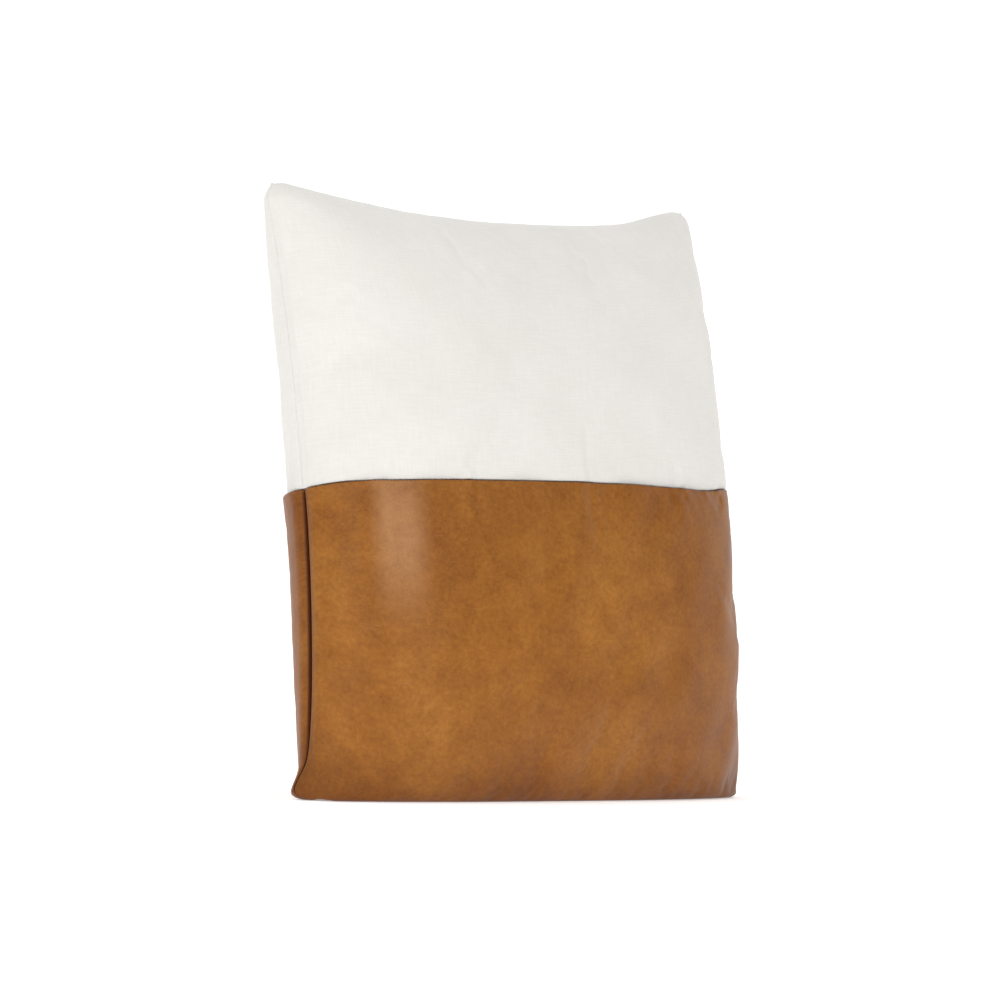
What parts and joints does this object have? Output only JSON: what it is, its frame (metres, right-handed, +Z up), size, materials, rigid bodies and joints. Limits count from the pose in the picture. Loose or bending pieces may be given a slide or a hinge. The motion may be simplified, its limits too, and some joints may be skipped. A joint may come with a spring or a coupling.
{
  "type": "throw pillow",
  "caption": "Square throw pillow, woven cotton upper half over a leather lower half, hidden coil zipper along the bottom, separate stuffed insert",
  "frame": {"origin": "middle of the pillow's outline seen from above, on the ground it stands on", "axes": "+X across the width to the right seen from the front, front face looks along -Y, top leans back towards +Y, +Z up"},
  "size_m": [0.4617, 0.2058, 0.4735],
  "materials": {
    "cotton": "matte",
    "leather": "satin",
    "brown_thread": "matte",
    "white_thread": "matte",
    "zip_tape": "matte",
    "zip_coil": "satin",
    "antique_brass": "satin",
    "insert_cotton": "matte",
    "filling": "matte"
  },
  "bodies": {
    "pillow": {"front_upper_panel": "cotton", "back_upper_panel": "cotton", "front_lower_panel": "leather", "back_lower_panel": "leather", "front_waist_stitching": "brown_thread", "back_waist_stitching": "brown_thread", "side_seam_stitching": "brown_thread", "zipper_tape_front": "zip_tape", "zipper_tape_back": "zip_tape", "zipper_coil_front": "zip_coil", "zipper_coil_back": "zip_coil", "zipper_top_stop_front": "antique_brass", "zipper_top_stop_back": "antique_brass", "zipper_bottom_stop": "antique_brass", "tape_stitching_front": "brown_thread", "tape_stitching_back": "brown_thread", "insert_front_cover": "insert_cotton", "insert_back_cover": "insert_cotton", "insert_seam_stitching": "white_thread", "insert_filling": "filling"},
    "slider": {"zipper_slider": "antique_brass"},
    "pull": {"zipper_pull": "antique_brass"}
  },
  "joints": [
    {"name": "zipper_slide", "type": "slide", "parent": "pillow", "child": "slider", "axis": [-1, 0, 0], "range_m": [0, 0.35]},
    {"name": "pull_hinge", "type": "hinge", "parent": "slider", "child": "pull", "pos_m": [0.176, -0.0258, 0.0055], "axis": [0, -1, 0], "range_deg": [0, 178]}
  ]
}
